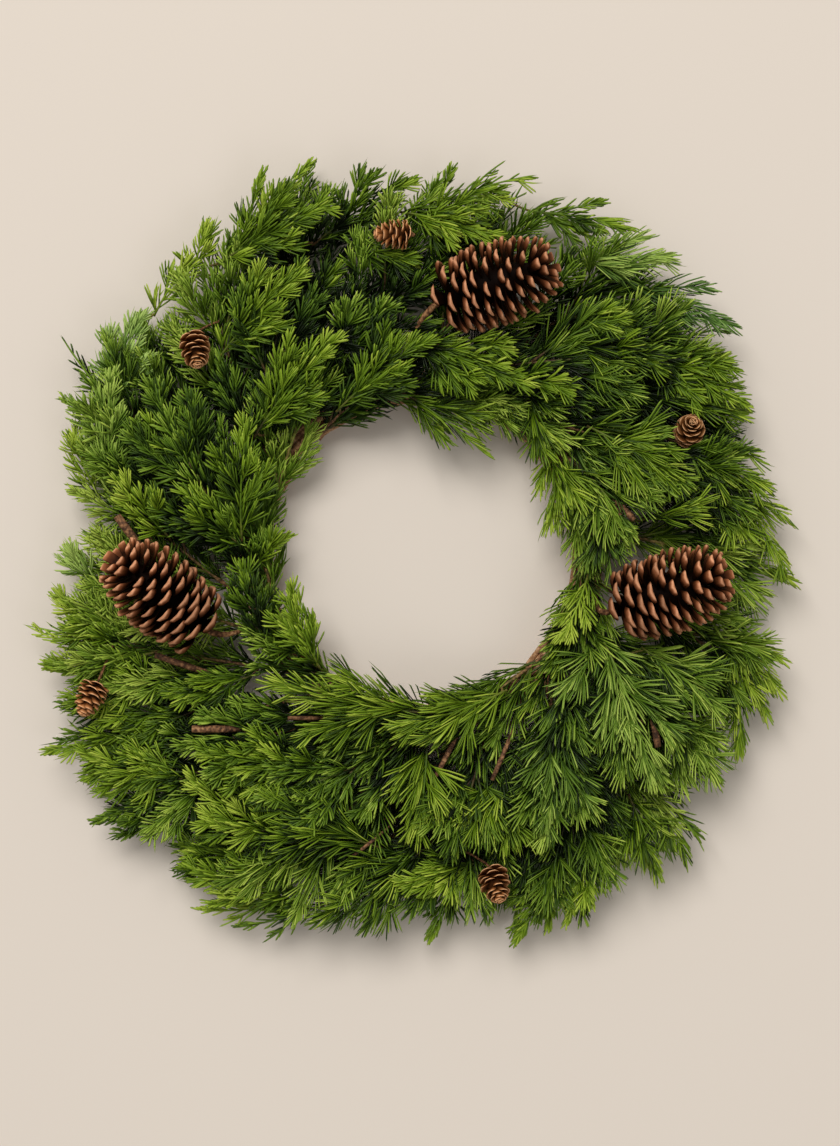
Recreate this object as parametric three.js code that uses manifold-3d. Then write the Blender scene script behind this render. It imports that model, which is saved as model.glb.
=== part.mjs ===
// A cypress wreath: evergreen sprays, pine cones and small cones set in a ring of wound vines.
// It lies on its back in the XY plane, in millimetres, with +Z towards the face that shows and +Y
// towards twelve o'clock. Clock angles are in degrees and run clockwise from +Y, as the sprays do.
import * as THREE from "three";
import { mergeVertices } from "three/addons/utils/BufferGeometryUtils.js";
import Module from "manifold-3d";

const wasm = await Module();
wasm.setup();

// Ring of vines
const RING_RADIUS = 134;
const BUNDLE_RADIUS = 8.7;
const VINE_RADIUS = 5;
const VINE_COUNT = 5;
const VINE_WINDS = 2;
const VINE_SPAN = 350;
const FIRST_VINE_START = 30;
const VINE_SIDES = 5;
const VINE_STEPS = 34;
const CUT_GAP_TURN = 2;
const FLAT_DEPTH = 1.2;
const SEAT_GAP = 0.42;
const SEAT_SHARE = 0.75;

// Sprays
const STEM_RADIUS = 1.7;
const STEM_TAPER = 0.45;
const STEM_BARS = 8;
const SHOOT_RADIUS = 1.15;
const SHOOT_TAPER = 0.15;
const SHOOT_LIFT = { low: -0.1, high: 0.16 };
const PAIR_LENGTH = 8;
const SHOOT_STEP = 8;
const NEEDLE_LENGTH = 21;
const NEEDLE_SHARE = { low: 0.75, high: 1.05 };
const NEEDLE_LEAN = 30;
const NEEDLE_RADIUS = 1.3;
const NEEDLE_ROOT = 0.8;
const CLEARANCE = 0.4;
const LOWEST_NEEDLE = 1;
const NEEDLE_SIDES = [
  [-0.45, 0.9],
  [-0.95, -0.3],
  [0.95, -0.3],
];
const SHOOT_BENDS = [54, 44, 37, 31];
const LEADER_LENGTH = 24;
const LEADER_STEPS = 3;
const SPRAY_ROLL = 14;

// Pine cones
const PINE_CONE = { length: 98, radius: 36, around: 7, rows: 6, wide: 19, thick: 3.2, stalk: 2.2 };
const SMALL_CONE = { length: 27, radius: 13, around: 5, rows: 4, wide: 9, thick: 1.2, stalk: 1 };
const SCALE_LEAN = { foot: 98, tip: 28 };
const STALK_SIDE = 60;
const STALK_LIFT = 0.9;
const STALK_STEPS = 4;
const STALK_REACH = { foot: 0.22, end: 0.14 };
const PERCH_RANGE = 9;
const PERCH_POINTS = 60;
const PERCH_BEHIND = 0.85;
const PERCH_GAP = 1.5;
const SMALL_CONE_RISE = 25;

// A cone's form, in shares of its length along the axis and of its radius across it
const CORE = { foot: 0.05, top: 0.77, tuft: 0.86, slim: 0.2, swell: 0.16, turn: 0.4 };
const SCALE = { slim: 0.72, swell: 0.28, shoulder: 0.78, narrowing: 0.45 };

// A round section's first corner lies this many degrees up from its right.
const FIRST_CORNER = 30;

// What varies from piece to piece follows this ratio.
const GOLDEN_RATIO = 0.618034;

// The sprays, as they are set round the ring: the clock angle of the cut end, the side of the bundle
// where it is tucked in (0 is outwards, 90 up, 180 inwards), the tip's x, y and z, and how far the
// stem bows away from the middle of the wreath.
const OUTER_SPRAYS = [
  [336, 40, 14, 297, 36, 25],
  [318, 0, -89, 313, 17, 55],
  [299, 40, -172, 262, 36, 30],
  [284, 0, -226, 190, 17, 22],
  [270, 40, -289, 174, 36, 20],
  [256, 0, -285, 95, 17, 25],
  [243, 20, -285, 2, 18, 20],
  [230, 40, -319, -57, 34, 12],
  [218, 0, -309, -155, 17, 4],
  [206, 40, -262, -214, 36, 10],
  [194, 0, -196, -254, 17, 18],
  [182, 40, -150, -300, 36, 26],
  [170, 0, -74, -290, 17, 30],
  [158, 40, 4, -311, 36, 28],
  [147, 0, 74, -311, 17, 24],
  [136, 40, 128, -294, 36, 20],
  [126, 0, 188, -258, 17, 16],
  [114, 40, 235, -182, 36, 18],
  [100, 20, 286, -112, 34, 24],
  [83, 0, 293, -22, 17, 30],
  [65, 40, 276, 53, 36, 30],
  [48, 0, 261, 117, 17, 30],
  [33, 40, 250, 182, 36, 28],
  [18, 20, 198, 240, 32, 28],
  [1, 0, 84, 302, 17, 10],
];
const FACE_SPRAYS = [
  [296, 75, -94, 226, 62, 34],
  [322, 75, -26, 196, 58, 14],
  [2, 75, 188, 151, 60, 20],
  [38, 75, 207, 54, 62, 22],
  [49, 75, 166, 12, 58, 14],
  [110, 75, 184, -182, 62, 14],
  [134, 75, 98, -224, 60, 22],
  [156, 75, 20, -232, 62, 18],
  [178, 75, -129, -193, 60, 20],
  [204, 75, -190, -152, 62, 14],
  [264, 75, -214, 134, 60, 12],
];
const RIM_SPRAYS = [
  [170, 110, -87, -114, 44, 12],
  [212, 110, -130, -28, 44, 12],
  [250, 110, -126, 64, 44, 12],
  [288, 110, -72, 160, 46, 10],
  [318, 110, 6, 164, 44, 6],
  [344, 110, 74, 118, 42, 12],
  [12, 110, 112, 88, 44, 12],
  [54, 110, 134, -14, 44, 12],
  [92, 110, 104, -92, 44, 12],
  [130, 110, -8, -140, 44, 12],
];

// The cones: where the middle lies, the tip's heading in the plane and its upward tilt, and for a pine
// cone the height of its middle and the clock angle at which its stalk meets the ring.
const PINE_CONES = [
  { name: "pine_cone_top", x: 62, y: 212, z: 72, heading: 17, tilt: 12, stalkClock: 353 },
  { name: "pine_cone_left", x: -207, y: -30, z: 72, heading: 140, tilt: 20, stalkClock: 247 },
  { name: "pine_cone_right", x: 197, y: -30, z: 72, heading: 19, tilt: 14, stalkClock: 104 },
];
const SMALL_CONES = [
  { name: "small_cone_upper_left", x: -179, y: 160, heading: -80, tilt: 30 },
  { name: "small_cone_top", x: -22, y: 251, heading: 178, tilt: 5 },
  { name: "small_cone_right", x: 213, y: 98, heading: 80, tilt: 68 },
  { name: "small_cone_bottom", x: 58, y: -262, heading: -75, tilt: 35 },
  { name: "small_cone_left", x: -262, y: -114, heading: -115, tilt: 12 },
];
const BUNDLE_HEIGHT = BUNDLE_RADIUS + VINE_RADIUS - FLAT_DEPTH;
const UP = new THREE.Vector3(0, 0, 1);
const radians = THREE.MathUtils.degToRad;

function vary(index, low, high) {
  return low + (high - low) * ((index * GOLDEN_RATIO) % 1);
}

function onClock(clock, radius, height) {
  const a = radians(clock);
  return new THREE.Vector3(radius * Math.sin(a), radius * Math.cos(a), height);
}

// Each vine winds round the ring's own line, and its two cut ends meet at a clock angle of its own.
const vineTurn = 360 / VINE_COUNT;
const vineStarts = Array.from({ length: VINE_COUNT }, (_, k) => FIRST_VINE_START + vineTurn * k);
const vinePaths = vineStarts.map((start, k) =>
  Array.from({ length: VINE_STEPS + 1 }, (_, i) => {
    const clock = start + (VINE_SPAN * i) / VINE_STEPS;
    const wind = radians(VINE_WINDS * clock + vineTurn * k);
    const radius = RING_RADIUS + BUNDLE_RADIUS * Math.cos(wind);
    return onClock(clock, radius, BUNDLE_HEIGHT + BUNDLE_RADIUS * Math.sin(wind));
  })
);

function turnAlong(index, clock) {
  return (((clock - vineStarts[index]) % 360) + 360) % 360;
}

function vineAt(index, clock) {
  const place = (turnAlong(index, clock) / VINE_SPAN) * VINE_STEPS;
  const path = vinePaths[index];
  return path[Math.floor(place)].clone().lerp(path[Math.floor(place) + 1], place % 1);
}

function sideOfRing(clock, side) {
  return onClock(clock, Math.cos(radians(side)), Math.sin(radians(side)));
}

// How far a vine's many-sided section reaches towards one side of the bundle
function vineReach(side) {
  const half = 180 / VINE_SIDES;
  const turn = (180 - side - FIRST_CORNER + 360) % (2 * half);
  return (VINE_RADIUS * Math.cos(radians(half))) / Math.cos(radians(turn - half));
}

// A point just off the vine that lies nearest to one side of the bundle, and isn't cut off there.
function seatOnRing(clock, side, spread) {
  const towards = (k) => Math.cos(radians(VINE_WINDS * clock + vineTurn * k - side));
  const whole = [...vineStarts.keys()].filter((k) => turnAlong(k, clock) < VINE_SPAN - CUT_GAP_TURN);
  const nearest = whole.reduce((best, k) => (towards(k) > towards(best) ? k : best));
  const off = vineReach(side) + SEAT_GAP + spread;
  return vineAt(nearest, clock).addScaledVector(sideOfRing(clock, side), off);
}

// A closed surface of triangles that others can be raised or grown from.
class Skin {
  constructor() {
    this.corners = [];
    this.faces = new Set();
  }

  corner(point) {
    this.corners.push(point.clone());
    return this.corners.length - 1;
  }

  // A triangle with two corners alike is left out.
  face(a, b, c) {
    const made = [a, b, c];
    if (new Set(made).size === 3) this.faces.add(made);
    return made;
  }

  // A ring of corners round a point, in the plane across the direction of growth.
  ring(point, along, up, radius, sides) {
    const right = new THREE.Vector3().crossVectors(along, up).normalize();
    const top = new THREE.Vector3().crossVectors(right, along).normalize();
    return Array.from({ length: sides }, (_, j) => {
      const a = radians(FIRST_CORNER + (360 / sides) * j);
      const out = right.clone().multiplyScalar(Math.cos(a)).addScaledVector(top, Math.sin(a));
      return this.corner(point.clone().addScaledVector(out, radius));
    });
  }

  // The wall between two rings: two triangles a side, the first with its long edge at the back.
  wall(back, front) {
    return back.map((a, j) => {
      const next = (j + 1) % back.length;
      return [this.face(a, front[next], back[next]), this.face(a, front[j], front[next])];
    });
  }

  cap(ring) {
    for (let j = 1; j < ring.length - 1; j++) this.face(ring[0], ring[j], ring[j + 1]);
  }

  point(ring, tip) {
    const apex = this.corner(tip);
    ring.forEach((a, j) => this.face(a, apex, ring[(j + 1) % ring.length]));
  }

  middle(face) {
    const sum = new THREE.Vector3();
    face.forEach((i) => sum.add(this.corners[i]));
    return sum.divideScalar(3);
  }

  // A needle: the triangle is drawn out to a point.
  raise(face, tip) {
    this.faces.delete(face);
    const apex = this.corner(tip);
    face.forEach((a, j) => this.face(a, face[(j + 1) % 3], apex));
  }

  apart(a, b) {
    return this.corners[a].distanceTo(this.corners[b]);
  }

  // The wall between two rings of different form, each cell split along its shorter diagonal
  bridge(back, front) {
    back.forEach((a, j) => {
      const next = (j + 1) % back.length;
      const rising = this.apart(a, front[next]) < this.apart(back[next], front[j]);
      this.face(a, rising ? front[next] : front[j], back[next]);
      this.face(rising ? a : back[next], front[j], front[next]);
    });
  }

  // The wall between two rings that weren't made in step, joined with the least twist.
  join(back, ring) {
    const turns = ring.map((_, turn) => ring.map((_, j) => ring[(j + turn) % ring.length]));
    const twist = (turned) => turned.reduce((sum, i, j) => sum + this.apart(i, back[j]), 0);
    this.bridge(back, turns.reduce((best, turned) => (twist(turned) < twist(best) ? turned : best)));
  }

  // The triangle becomes the foot of a shoot.
  foot(face, ring) {
    this.faces.delete(face);
    this.join([...face].reverse(), ring);
  }

  // A cell of two triangles grows out to a ring of four corners, given from its lower left.
  growFrom([lower, upper], ring) {
    this.faces.delete(lower);
    this.faces.delete(upper);
    const [a, b, c] = upper;
    this.bridge([lower[2], c, b, a], ring);
  }

  solid() {
    const triVerts = new Uint32Array([...this.faces].flat());
    const vertProperties = new Float32Array(this.corners.flatMap((p) => p.toArray()));
    return new wasm.Manifold(new wasm.Mesh({ numProp: 3, vertProperties, triVerts }));
  }
}

// The rings of a round rod along a path, and the walls between them, up to its far end
function addRod(skin, path, up, radius, sides) {
  const rings = path.map((point, i) => {
    const along = path[Math.min(i + 1, path.length - 1)].clone().sub(path[Math.max(i - 1, 0)]);
    return skin.ring(point, along.normalize(), up, radius, sides);
  });
  rings.slice(1).forEach((ring, i) => skin.wall(rings[i], ring));
  skin.cap([...rings.at(-1)].reverse());
  return rings[0];
}

function vineSolid(path) {
  const skin = new Skin();
  skin.cap(addRod(skin, path, UP, VINE_RADIUS, VINE_SIDES));
  return skin.solid();
}

function solidFrom(geometry) {
  const bare = geometry.clone();
  bare.deleteAttribute("normal");
  bare.deleteAttribute("uv");
  const merged = mergeVertices(bare, 1e-4);
  const vertProperties = merged.attributes.position.array;
  const triVerts = new Uint32Array(merged.index.array);
  return new wasm.Manifold(new wasm.Mesh({ numProp: 3, vertProperties, triVerts }));
}

// What already stands in the wreath, as round-ended bars: what is set in later keeps clear of them.
const bars = [];

function addBar(piece, branch, from, to, radius) {
  bars.push({ piece, branch, from: from.clone(), to: to.clone(), radius });
}

// The gap between two bars: the shortest line between their middles, less their radii.
function barGap(a, b) {
  const limit = (value) => Math.min(Math.max(value, 0), 1);
  const alongA = a.to.clone().sub(a.from);
  const alongB = b.to.clone().sub(b.from);
  const between = a.from.clone().sub(b.from);
  const [aa, bb, ab] = [alongA.dot(alongA), alongB.dot(alongB), alongA.dot(alongB)];
  const [ar, br] = [alongA.dot(between), alongB.dot(between)];
  const spread = aa * bb - ab * ab;
  const first = spread > 1e-9 ? limit((ab * br - ar * bb) / spread) : 0;
  const onB = limit((ab * first + br) / bb);
  const onA = limit((ab * onB - ar) / aa);
  const nearA = a.from.clone().addScaledVector(alongA, onA);
  const nearB = b.from.clone().addScaledVector(alongB, onB);
  return nearA.distanceTo(nearB) - a.radius - b.radius;
}

function isClear(piece, branch, from, to, radius) {
  return bars.every((other) => {
    if (other.piece === piece && (other.branch === branch || other.branch === "stem")) return true;
    return barGap({ from, to, radius }, other) > CLEARANCE;
  });
}

// A stem leaves its seat on the ring outwards and sweeps round clockwise to its tip.
function stemCurve([clock, side, x, y, z, bow]) {
  const tip = new THREE.Vector3(x, y, z);
  const curveFrom = (foot) => {
    const middle = foot.clone().add(tip).multiplyScalar(0.5);
    middle.addScaledVector(middle.clone().setZ(0).normalize(), bow);
    return new THREE.QuadraticBezierCurve3(foot, middle, tip);
  };
  const leaving = curveFrom(seatOnRing(clock, side, STEM_RADIUS)).getTangent(0);
  const across = leaving.cross(sideOfRing(clock, side)).length();
  return curveFrom(seatOnRing(clock, side, SEAT_SHARE * STEM_RADIUS * across));
}

// A needle leans forwards along its shoot, off to the side that its triangle looks to: the first side
// looks up, and the others look left and right and a little down.
function needleDirection(side, along, right, up) {
  const [sideways, upwards] = NEEDLE_SIDES[side];
  const lean = radians(NEEDLE_LEAN);
  return along
    .clone()
    .multiplyScalar(Math.cos(lean))
    .addScaledVector(right, Math.sin(lean) * sideways)
    .addScaledVector(up, Math.sin(lean) * upwards);
}

function addNeedles(skin, piece, branch, wall, along, up, seed, upright) {
  const right = new THREE.Vector3().crossVectors(along, up).normalize();
  wall.forEach((halves, side) =>
    halves.forEach((face, half) => {
      if (side === 0 && (half || !upright)) return;
      const root = skin.middle(face);
      const share = vary(seed * 7 + side * 2 + half, NEEDLE_SHARE.low, NEEDLE_SHARE.high);
      const reach = needleDirection(side, along, right, up).multiplyScalar(NEEDLE_LENGTH * share);
      const tip = root.clone().add(reach);
      const waist = root.clone().lerp(tip, 0.5);
      const lines = [
        [skin.corners[face[0]], skin.corners[face[1 + half]], NEEDLE_ROOT],
        [root, waist, NEEDLE_RADIUS],
        [waist, tip, NEEDLE_RADIUS / 2],
      ];
      if (tip.z < LOWEST_NEEDLE || !lines.every((line) => isClear(piece, branch, ...line))) return;
      skin.raise(face, tip);
      addBar(piece, branch, root, waist, NEEDLE_RADIUS);
      addBar(piece, branch, waist, tip, NEEDLE_RADIUS / 2);
    })
  );
}

// A side shoot leaves its stem sideways, bends forwards, and ends in a needle.
function addShoot(skin, piece, face, { along, up }, hand, firstStep, seed) {
  const branch = `shoot ${seed}`;
  const right = new THREE.Vector3().crossVectors(along, up).normalize();
  const heading = (angle) =>
    along
      .clone()
      .multiplyScalar(Math.cos(radians(angle)))
      .addScaledVector(right, hand * Math.sin(radians(angle)))
      .addScaledVector(up, vary(seed, SHOOT_LIFT.low, SHOOT_LIFT.high))
      .normalize();
  const steps = [firstStep, SHOOT_STEP, SHOOT_STEP, NEEDLE_LENGTH];
  const points = [skin.middle(face)];
  SHOOT_BENDS.forEach((angle, i) => {
    points.push(points[i].clone().addScaledVector(heading(angle), steps[i]));
  });
  const legs = points.slice(1).map((to, i) => [points[i], to]);
  const free = legs.every(([from, to]) => isClear(piece, branch, from, to, SHOOT_RADIUS));
  if (!free || points.at(-1).z < LOWEST_NEEDLE) return;
  const rings = [1, 2, 3].map((i) =>
    skin.ring(points[i], heading(SHOOT_BENDS[i]), up, SHOOT_RADIUS - SHOOT_TAPER * i, 3)
  );
  skin.foot(face, rings[0]);
  legs.forEach(([from, to], i) => addBar(piece, i ? branch : "stem", from, to, SHOOT_RADIUS));
  const walls = [skin.wall(rings[0], rings[1]), skin.wall(rings[1], rings[2])];
  skin.point(rings[2], points.at(-1));
  walls.forEach((wall, i) => {
    addNeedles(skin, piece, branch, wall, heading(SHOOT_BENDS[i + 1]), up, seed + i, i === 0);
  });
}

// A spray: a tapering stem with pairs of shoots, and a leader with needles on every side.
function spraySolid(piece, curve, index, { pairs, bare, spread }) {
  const skin = new Skin();
  const length = curve.getLength();
  const leaderFoot = length - LEADER_LENGTH - NEEDLE_LENGTH;
  const first = length * bare;
  const spacing = (leaderFoot - first) / pairs;
  const marks = [0];
  for (let k = 0; k < pairs; k++) marks.push(first + spacing * k, first + spacing * k + PAIR_LENGTH);
  for (let k = 1; k <= LEADER_STEPS; k++) marks.push(leaderFoot + (LEADER_LENGTH * k) / LEADER_STEPS);
  const roll = radians(vary(index, -SPRAY_ROLL, SPRAY_ROLL));
  const frames = marks.map((mark) => {
    const along = curve.getTangentAt(mark / length);
    const right = new THREE.Vector3().crossVectors(along, UP).normalize();
    const up = new THREE.Vector3().crossVectors(right, along).applyAxisAngle(along, roll);
    return { point: curve.getPointAt(mark / length), along, up };
  });
  const rings = frames.map(({ point, along, up }, i) =>
    skin.ring(point, along, up, STEM_RADIUS * (1 - (STEM_TAPER * i) / frames.length), 3)
  );
  skin.cap(rings[0]);
  const walls = rings.slice(1).map((ring, i) => skin.wall(rings[i], ring));
  skin.point(rings.at(-1), curve.getPointAt(1));
  for (let k = 0; k < pairs; k++) {
    const at = 1 + 2 * k;
    const firstStep = SHOOT_STEP + spread * Math.sin((Math.PI * (k + 1)) / (pairs + 1));
    const seed = index * 11 + k * 3;
    addShoot(skin, piece, walls[at][1][0], frames[at], -1, firstStep, seed);
    addShoot(skin, piece, walls[at][2][1], frames[at], 1, firstStep, seed + 1);
  }
  walls.slice(-LEADER_STEPS).forEach((wall, i) => {
    const { along, up } = frames.at(i - LEADER_STEPS);
    addNeedles(skin, piece, "stem", wall, along, up, index + i, true);
  });
  return skin.solid();
}

// A cone along +Z, whose core is all scales: each cell of the core grows out into a plate that
// widens to its shoulders and ends in a blunt point. The scales stand in spirals, spread wide at the
// foot and closing to a tuft.
function coneSolid({ length, radius, around, rows, wide, thick, stalk }, stalkPath) {
  const skin = new Skin();
  const cell = 360 / around;
  const rings = Array.from({ length: rows + 1 }, (_, i) => {
    const t = i / rows;
    const core = radius * (CORE.slim + CORE.swell * Math.sin(Math.PI * (0.15 + 0.75 * t)));
    const turned = new THREE.Vector3(0, 1, 0).applyAxisAngle(UP, radians(CORE.turn * cell * i));
    const height = length * THREE.MathUtils.lerp(CORE.foot, CORE.top, t);
    return skin.ring(new THREE.Vector3(0, 0, height), UP, turned, core, around);
  });
  const offPlane = stalkPath[1].clone().sub(stalkPath[0]).cross(stalkPath.at(-1)).normalize();
  skin.join([...rings[0]].reverse(), addRod(skin, stalkPath, offPlane, stalk, around));
  skin.point(rings[rows], new THREE.Vector3(0, 0, length * CORE.tuft));
  rings.slice(1).forEach((ring, i) => {
    const t = (i + 0.5) / rows;
    const reach = radius * (SCALE.slim + SCALE.swell * Math.sin(Math.PI * (0.1 + 0.8 * t)));
    const half = (wide / 2) * (1 - SCALE.narrowing * t);
    const lean = radians(THREE.MathUtils.lerp(SCALE_LEAN.foot, SCALE_LEAN.tip, t));
    skin.wall(rings[i], ring).forEach((cellFaces, j) => {
      const foot = skin.middle(cellFaces[0]).add(skin.middle(cellFaces[1])).multiplyScalar(0.5);
      const outward = foot.clone().setZ(0).normalize();
      const along = outward.clone().multiplyScalar(Math.sin(lean)).addScaledVector(UP, Math.cos(lean));
      const right = new THREE.Vector3().crossVectors(UP, outward);
      const over = new THREE.Vector3().crossVectors(along, right);
      const axis = foot.clone().setX(0).setY(0);
      const at = (out, sideways, height) => {
        const point = axis.clone().addScaledVector(along, out);
        return skin.corner(point.addScaledVector(right, sideways).addScaledVector(over, height));
      };
      const shoulder = reach * SCALE.shoulder;
      const shoulders = [
        [-half, -1],
        [-half, 1],
        [half, 1],
        [half, -1],
      ].map(([sideways, face]) => at(shoulder, sideways, (face * thick) / 2));
      const [under, upper] = [at(reach, 0, -thick / 2), at(reach, 0, thick / 2)];
      skin.growFrom(cellFaces, shoulders);
      skin.wall(shoulders, [under, upper, upper, under]);
    });
  });
  return skin.solid();
}

function coneAxis({ heading, tilt }) {
  const flat = Math.cos(radians(tilt));
  const axis = new THREE.Vector3(Math.cos(radians(heading)) * flat, Math.sin(radians(heading)) * flat, 0);
  return axis.setZ(Math.sin(radians(tilt)));
}

// A cone set in place, with a stalk that bends back from its foot to what carries it.
function placedCone(cone, z, size, stalkEnd, leaving) {
  const axis = coneAxis(cone);
  const middle = new THREE.Vector3(cone.x, cone.y, z);
  const at = (share) => middle.clone().addScaledVector(axis, size.length * (share - 0.5));
  const turn = new THREE.Quaternion().setFromUnitVectors(UP, axis);
  const matrix = new THREE.Matrix4().compose(at(0), turn, new THREE.Vector3(1, 1, 1));
  const bend = stalkEnd.clone().addScaledVector(leaving, size.length * STALK_REACH.end);
  const curve = new THREE.CubicBezierCurve3(at(0), at(-STALK_REACH.foot), bend, stalkEnd);
  const stalk = curve.getPoints(STALK_STEPS);
  stalk.slice(1).forEach((to, i) => addBar(cone.name, "stalk", stalk[i], to, size.stalk));
  addBar(cone.name, "cone", at(0.32), middle, size.radius);
  addBar(cone.name, "cone", middle, at(0.8), size.radius * 0.62);
  const toCone = matrix.clone().invert();
  const stalkPath = stalk.map((point) => point.clone().applyMatrix4(toCone));
  return coneSolid(size, stalkPath).transform(matrix.toArray());
}

const MATERIALS = {
  vine: new THREE.MeshStandardMaterial({ color: 0x9c6f45, roughness: 0.85, metalness: 0 }),
  spray: new THREE.MeshStandardMaterial({ color: 0x3d6b22, roughness: 0.6, metalness: 0 }),
  cone: new THREE.MeshStandardMaterial({ color: 0x7a4b33, roughness: 0.75, metalness: 0 }),
};

const wreath = new THREE.Group();

function addPiece(name, solid, material) {
  const { vertProperties, triVerts } = solid.getMesh();
  const geometry = new THREE.BufferGeometry();
  geometry.setAttribute("position", new THREE.BufferAttribute(new Float32Array(vertProperties), 3));
  geometry.setIndex(new THREE.BufferAttribute(new Uint32Array(triVerts), 1));
  geometry.computeVertexNormals();
  const mesh = new THREE.Mesh(geometry, material);
  mesh.name = name;
  wreath.add(mesh);
}

// The vines, trimmed flat where they dip to the surface that the wreath lies on
const reach = 2 * (RING_RADIUS + BUNDLE_RADIUS + 2 * VINE_RADIUS);
const aboveSurface = new THREE.BoxGeometry(reach, reach, reach).translate(0, 0, reach / 2);
vinePaths.forEach((path, k) => {
  const name = `vine_${k + 1}`;
  addPiece(name, vineSolid(path).intersect(solidFrom(aboveSurface)), MATERIALS.vine);
  path.slice(1).forEach((to, i) => addBar(name, "vine", path[i], to, VINE_RADIUS));
});

// Every stem's route is fixed before anything is grown on it.
const SPRAY_KINDS = [
  { kind: "face_spray", rows: FACE_SPRAYS, pairs: 3, bare: 0.22, spread: 9 },
  { kind: "rim_spray", rows: RIM_SPRAYS, pairs: 2, bare: 0.2, spread: 1 },
  { kind: "outer_spray", rows: OUTER_SPRAYS, pairs: 3, bare: 0.28, spread: 9 },
];
const sprays = SPRAY_KINDS.flatMap((form) =>
  form.rows.map((row, i) => ({ piece: `${form.kind}_${i + 1}`, form, curve: stemCurve(row) }))
);
sprays.forEach(({ piece, curve }) => {
  const path = curve.getPoints(STEM_BARS);
  path.slice(1).forEach((to, i) => addBar(piece, "stem", path[i], to, STEM_RADIUS));
});

PINE_CONES.forEach((cone) => {
  const seat = seatOnRing(cone.stalkClock, STALK_SIDE, STALK_LIFT);
  const leaving = sideOfRing(cone.stalkClock, STALK_SIDE);
  addPiece(cone.name, placedCone(cone, cone.z, PINE_CONE, seat, leaving), MATERIALS.cone);
});

// A small cone stands on the highest stem that passes under it.
function perchUnder(x, y) {
  const points = sprays.flatMap(({ curve }) => curve.getPoints(PERCH_POINTS));
  const away = (p) => Math.hypot(p.x - x, p.y - y);
  const near = points.filter((p) => away(p) < PERCH_RANGE);
  if (!near.length) return points.reduce((best, p) => (away(p) < away(best) ? p : best));
  return near.reduce((best, p) => (p.z > best.z ? p : best));
}

SMALL_CONES.forEach((cone) => {
  const behind = coneAxis(cone).multiplyScalar(-PERCH_BEHIND * SMALL_CONE.length);
  const perch = perchUnder(cone.x + behind.x, cone.y + behind.y);
  const stalkEnd = perch.clone().addScaledVector(UP, PERCH_GAP);
  const height = perch.z + SMALL_CONE_RISE;
  addPiece(cone.name, placedCone(cone, height, SMALL_CONE, stalkEnd, UP), MATERIALS.cone);
});

sprays.forEach(({ piece, form, curve }, index) => {
  addPiece(piece, spraySolid(piece, curve, index, form), MATERIALS.spray);
});

// The origin is the bottom centre of the box round everything.
const box = new THREE.Box3().setFromObject(wreath);
const centre = box.getCenter(new THREE.Vector3());
wreath.children.forEach((mesh) => mesh.geometry.translate(-centre.x, -centre.y, -box.min.z));

export default wreath;
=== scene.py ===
import math
from types import SimpleNamespace

import bpy
import numpy as np
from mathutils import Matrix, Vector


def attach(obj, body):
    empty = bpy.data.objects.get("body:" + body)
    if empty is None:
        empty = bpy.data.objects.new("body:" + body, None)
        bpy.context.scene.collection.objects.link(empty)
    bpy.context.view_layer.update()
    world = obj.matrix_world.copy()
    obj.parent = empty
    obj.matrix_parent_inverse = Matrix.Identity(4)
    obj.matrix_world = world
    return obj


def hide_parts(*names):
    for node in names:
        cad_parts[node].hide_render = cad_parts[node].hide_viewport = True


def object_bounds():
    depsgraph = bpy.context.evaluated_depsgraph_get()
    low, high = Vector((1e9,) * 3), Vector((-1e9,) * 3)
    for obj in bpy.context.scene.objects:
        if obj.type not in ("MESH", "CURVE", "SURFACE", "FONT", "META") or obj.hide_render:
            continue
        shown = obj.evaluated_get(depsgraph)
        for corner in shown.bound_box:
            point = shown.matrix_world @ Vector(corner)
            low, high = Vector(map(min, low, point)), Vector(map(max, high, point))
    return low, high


# The looks of a cypress wreath that lies on its back, seen from straight above.
# Lengths are in millimetres from the middle of the vine ring, and become metres when a mesh is made.
# Clock angles are in degrees and run clockwise from +Y.
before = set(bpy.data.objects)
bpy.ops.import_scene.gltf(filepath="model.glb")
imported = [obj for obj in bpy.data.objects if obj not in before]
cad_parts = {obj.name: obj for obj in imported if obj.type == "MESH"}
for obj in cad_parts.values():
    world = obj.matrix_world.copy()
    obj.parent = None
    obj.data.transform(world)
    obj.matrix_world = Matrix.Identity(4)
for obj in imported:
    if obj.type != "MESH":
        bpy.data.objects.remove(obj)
cadLow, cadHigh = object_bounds()
mm = 0.001

westTip, southTip = -319, -311  # where the model's lowest corner lies, from the ring's middle
ringMiddle = np.array([cadLow.x / mm - westTip, cadLow.y / mm - southTip, 0.0])
lowestCorner = 0.15  # how near the floor a corner may come
up = np.array([0.0, 0.0, 1.0])
crossways = np.array([[0.3, 0.2, 1.0]])  # an up for rods that may run in any direction
goldenTurn = math.radians(137.508)


def unit(v):  # v / |v|
    return v / np.maximum(np.linalg.norm(v, axis=-1, keepdims=True), 1e-9)


def dot(a, b):  # a . b for each pair, kept as a column
    return (a * b).sum(-1, keepdims=True)


def squareTo(v, along):  # v less its share along the line
    return unit(v - dot(v, along) * along)


def between(a, b, angle):  # cos(angle) a + sin(angle) b
    return np.cos(angle)[..., None] * a + np.sin(angle)[..., None] * b


def onClock(clock, radius, height):  # (radius sin(clock), radius cos(clock), height)
    a = np.radians(clock)
    return np.stack([radius * np.sin(a), radius * np.cos(a), height + 0 * a], -1)


# Surfaces

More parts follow.
